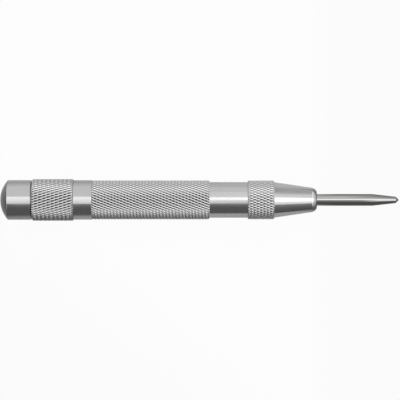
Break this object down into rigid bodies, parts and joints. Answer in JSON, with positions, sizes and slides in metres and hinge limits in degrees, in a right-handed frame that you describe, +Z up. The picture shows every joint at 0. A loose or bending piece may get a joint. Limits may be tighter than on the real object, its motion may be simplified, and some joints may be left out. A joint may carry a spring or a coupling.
{
  "type": "automatic center punch",
  "caption": "Automatic center punch: a knurled steel barrel with a domed screw cap and a tapered nose holds a spring-driven hammer that strikes when the slender point is pressed in.",
  "frame": {"origin": "bottom centre of the tool as it lies on its side: mid length, mid width, on the plane that it rests on", "axes": "+X along the tool from the domed cap to the point, +Z up, +Y across the tool"},
  "size_m": [0.13, 0.0136, 0.0136],
  "materials": {
    "body_steel": "satin plated, turned",
    "point_steel": "hardened and polished",
    "inner_steel": "ground",
    "hammer_steel": "hardened, oil black",
    "spring_steel": "oil-tempered wire",
    "return_wire": "bright drawn wire",
    "leaf_steel": "blued strip",
    "screw_steel": "bright turned"
  },
  "bodies": {
    "barrel": {"barrel": "body_steel", "nose_cap": "body_steel", "main_spring": "spring_steel"},
    "plunger": {"plunger": "inner_steel", "punch_point": "point_steel", "return_spring": "return_wire"},
    "hammer": {"hammer": "hammer_steel", "leaf_spring": "leaf_steel", "leaf_screw": "screw_steel"},
    "trip_block": {"trip_block": "inner_steel"},
    "spring_seat": {"spring_seat": "inner_steel"},
    "end_cap": {"end_cap": "body_steel"}
  },
  "joints": [
    {"name": "point_press", "type": "slide", "parent": "barrel", "child": "plunger", "axis": [-1, 0, 0], "range_m": [0, 0.009], "stiffness_N_per_m": 6000},
    {"name": "hammer_lift", "type": "slide", "parent": "barrel", "child": "hammer", "axis": [-1, 0, 0], "range_m": [0, 0.009], "deforming": ["main_spring"]},
    {"name": "trip_slide", "type": "slide", "parent": "hammer", "child": "trip_block", "axis": [0, 0, -1], "range_m": [0, 0.00075], "deforming": ["leaf_spring"]},
    {"name": "cap_travel", "type": "slide", "parent": "barrel", "child": "spring_seat", "axis": [-1, 0, 0], "range_m": [0, 0.005], "deforming": ["main_spring"]},
    {"name": "cap_turn", "type": "hinge", "parent": "spring_seat", "child": "end_cap", "pos_m": [0, 0, 0.0068], "axis": [-1, 0, 0], "range_deg": [0, 1800]}
  ],
  "couplings": [
    {"joint": "hammer_lift", "follows": "point_press", "ratio": 1},
    {"joint": "trip_slide", "follows": "point_press", "ratio": 0.083333},
    {"joint": "cap_travel", "follows": "cap_turn", "m_per_rad": 0.00015915}
  ]
}
